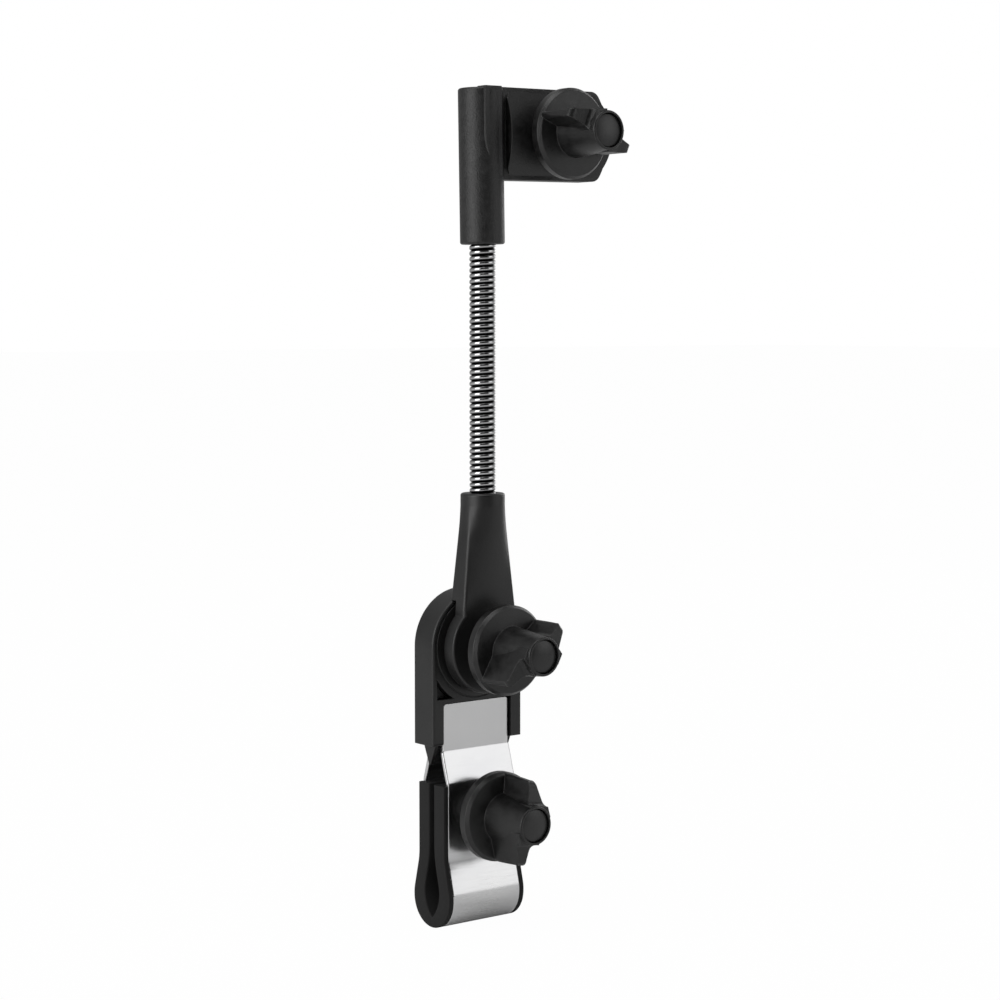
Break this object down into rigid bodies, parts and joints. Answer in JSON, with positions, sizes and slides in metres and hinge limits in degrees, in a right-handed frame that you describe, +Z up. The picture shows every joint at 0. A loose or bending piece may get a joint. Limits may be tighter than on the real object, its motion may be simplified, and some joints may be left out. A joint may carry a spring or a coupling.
{
  "type": "airbrush holder stand",
  "caption": "Clip-on gooseneck holder: a rubber-lined steel strap clamps a pole, a tilting arm carries a bendable coil neck, and a head plate with a wing knob grips an airbrush hanger.",
  "frame": {"origin": "centre of the strap's round loop, where a clamped pole sits", "axes": "+X along the clamped pole, -Y towards the knobs, +Z up the neck"},
  "size_m": [0.0698, 0.0503, 0.2802],
  "materials": {
    "bracket_plastic": "satin, fine moulded grain",
    "arm_plastic": "satin, fine moulded grain",
    "head_plastic": "satin, fine moulded grain",
    "knob_plastic": "satin, fine moulded grain",
    "cap_plastic": "satin",
    "strap_steel": "polished steel strip",
    "liner_rubber": "matt moulded rubber",
    "bolt_steel": "zinc plated",
    "screw_steel": "zinc plated",
    "spacer_nylon": "plain nylon",
    "washer_fibre": "matt friction ring",
    "coil_steel": "bright wound wire",
    "core_steel": "plain wire",
    "insert_brass": "threaded insert"
  },
  "bodies": {
    "clamp": {"bracket": "bracket_plastic", "strap_back": "strap_steel", "liner_back": "liner_rubber", "clamp_bolt": "bolt_steel", "pivot_bolt": "bolt_steel", "strap_screws": "screw_steel", "friction_washer": "washer_fibre"},
    "clamp_front": {"strap_front": "strap_steel", "liner_front": "liner_rubber"},
    "clamp_spacer": {"clamp_spacer": "spacer_nylon"},
    "clamp_knob": {"clamp_knob": "knob_plastic", "clamp_knob_insert": "insert_brass", "clamp_knob_cap": "cap_plastic"},
    "pivot_spacer": {"pivot_spacer": "spacer_nylon"},
    "pivot_knob": {"pivot_knob": "knob_plastic", "pivot_knob_insert": "insert_brass", "pivot_knob_cap": "cap_plastic"},
    "arm": {"arm": "arm_plastic", "neck_coil_lower_end": "coil_steel", "neck_core_lower_end": "core_steel"},
    "neck_01": {"neck_coil_01": "coil_steel", "neck_core_01": "core_steel"},
    "neck_02": {"neck_coil_02": "coil_steel", "neck_core_02": "core_steel"},
    "neck_03": {"neck_coil_03": "coil_steel", "neck_core_03": "core_steel"},
    "neck_04": {"neck_coil_04": "coil_steel", "neck_core_04": "core_steel"},
    "neck_05": {"neck_coil_05": "coil_steel", "neck_core_05": "core_steel"},
    "neck_06": {"neck_coil_06": "coil_steel", "neck_core_06": "core_steel"},
    "neck_07": {"neck_coil_07": "coil_steel", "neck_core_07": "core_steel"},
    "neck_08": {"neck_coil_08": "coil_steel", "neck_core_08": "core_steel"},
    "neck_09": {"neck_coil_09": "coil_steel", "neck_core_09": "core_steel"},
    "neck_10": {"neck_coil_10": "coil_steel", "neck_core_10": "core_steel"},
    "neck_11": {"neck_coil_11": "coil_steel", "neck_core_11": "core_steel"},
    "head": {"holder_head": "head_plastic", "holder_bolt": "bolt_steel", "neck_coil_upper_end": "coil_steel", "neck_core_upper_end": "core_steel"},
    "holder_washer": {"holder_washer": "spacer_nylon"},
    "holder_knob": {"holder_knob": "knob_plastic", "holder_knob_insert": "insert_brass", "holder_knob_cap": "cap_plastic"}
  },
  "joints": [
    {"name": "clamp_knob_turn", "type": "hinge", "parent": "clamp_spacer", "child": "clamp_knob", "pos_m": [0, 0, 0.028], "axis": [0, -1, 0], "range_deg": [0, 1800]},
    {"name": "clamp_knob_travel", "type": "slide", "parent": "clamp", "child": "clamp_spacer", "axis": [0, -1, 0], "range_m": [0, 0.005]},
    {"name": "pivot_knob_turn", "type": "hinge", "parent": "pivot_spacer", "child": "pivot_knob", "pos_m": [0, 0, 0.0842], "axis": [0, -1, 0], "range_deg": [0, 1080]},
    {"name": "pivot_knob_travel", "type": "slide", "parent": "clamp", "child": "pivot_spacer", "axis": [0, -1, 0], "range_m": [0, 0.003]},
    {"name": "holder_knob_turn", "type": "hinge", "parent": "holder_washer", "child": "holder_knob", "pos_m": [0.02676, 0, 0.25427], "axis": [0, -1, 0], "range_deg": [0, 2160]},
    {"name": "holder_knob_travel", "type": "slide", "parent": "head", "child": "holder_washer", "axis": [0, -1, 0], "range_m": [0, 0.006]},
    {"name": "strap_spread", "type": "hinge", "parent": "clamp", "child": "clamp_front", "pos_m": [0, 0, -0.0105], "axis": [1, 0, 0], "range_deg": [0, 6]},
    {"name": "arm_tilt", "type": "hinge", "parent": "clamp", "child": "arm", "pos_m": [0, 0, 0.0842], "axis": [0, -1, 0], "range_deg": [-65, 65]},
    {"name": "neck_front_1", "type": "hinge", "parent": "arm", "child": "neck_01", "pos_m": [0, -0.0076, 0.1355], "axis": [1, 0, 0], "range_deg": [-12, 12]},
    {"name": "neck_side_1", "type": "hinge", "parent": "neck_01", "child": "neck_02", "pos_m": [0, -0.0076, 0.14296], "axis": [0, 1, 0], "range_deg": [-12, 12]},
    {"name": "neck_front_2", "type": "hinge", "parent": "neck_02", "child": "neck_03", "pos_m": [0, -0.0076, 0.15043], "axis": [1, 0, 0], "range_deg": [-12, 12]},
    {"name": "neck_side_2", "type": "hinge", "parent": "neck_03", "child": "neck_04", "pos_m": [0, -0.0076, 0.15789], "axis": [0, 1, 0], "range_deg": [-12, 12]},
    {"name": "neck_front_3", "type": "hinge", "parent": "neck_04", "child": "neck_05", "pos_m": [0, -0.0076, 0.16535], "axis": [1, 0, 0], "range_deg": [-12, 12]},
    {"name": "neck_side_3", "type": "hinge", "parent": "neck_05", "child": "neck_06", "pos_m": [0, -0.0076, 0.17282], "axis": [0, 1, 0], "range_deg": [-12, 12]},
    {"name": "neck_front_4", "type": "hinge", "parent": "neck_06", "child": "neck_07", "pos_m": [0, -0.0076, 0.18028], "axis": [1, 0, 0], "range_deg": [-12, 12]},
    {"name": "neck_side_4", "type": "hinge", "parent": "neck_07", "child": "neck_08", "pos_m": [0, -0.0076, 0.18775], "axis": [0, 1, 0], "range_deg": [-12, 12]},
    {"name": "neck_front_5", "type": "hinge", "parent": "neck_08", "child": "neck_09", "pos_m": [0, -0.0076, 0.19521], "axis": [1, 0, 0], "range_deg": [-12, 12]},
    {"name": "neck_side_5", "type": "hinge", "parent": "neck_09", "child": "neck_10", "pos_m": [0, -0.0076, 0.20267], "axis": [0, 1, 0], "range_deg": [-12, 12]},
    {"name": "neck_front_6", "type": "hinge", "parent": "neck_10", "child": "neck_11", "pos_m": [0, -0.0076, 0.21014], "axis": [1, 0, 0], "range_deg": [-12, 12]},
    {"name": "neck_side_6", "type": "hinge", "parent": "neck_11", "child": "head", "pos_m": [0, -0.0076, 0.2176], "axis": [0, 1, 0], "range_deg": [-12, 12]}
  ],
  "couplings": [
    {"joint": "clamp_knob_travel", "follows": "clamp_knob_turn", "m_per_rad": 0.00015915},
    {"joint": "pivot_knob_travel", "follows": "pivot_knob_turn", "m_per_rad": 0.00015915},
    {"joint": "holder_knob_travel", "follows": "holder_knob_turn", "m_per_rad": 0.00015915},
    {"joint": "strap_spread", "follows": "clamp_knob_turn", "ratio": 0.0033333},
    {"joint": "neck_front_2", "follows": "neck_front_1", "ratio": 1},
    {"joint": "neck_side_2", "follows": "neck_side_1", "ratio": 1},
    {"joint": "neck_front_3", "follows": "neck_front_1", "ratio": 1},
    {"joint": "neck_side_3", "follows": "neck_side_1", "ratio": 1},
    {"joint": "neck_front_4", "follows": "neck_front_1", "ratio": 1},
    {"joint": "neck_side_4", "follows": "neck_side_1", "ratio": 1},
    {"joint": "neck_front_5", "follows": "neck_front_1", "ratio": 1},
    {"joint": "neck_side_5", "follows": "neck_side_1", "ratio": 1},
    {"joint": "neck_front_6", "follows": "neck_front_1", "ratio": 1},
    {"joint": "neck_side_6", "follows": "neck_side_1", "ratio": 1}
  ]
}
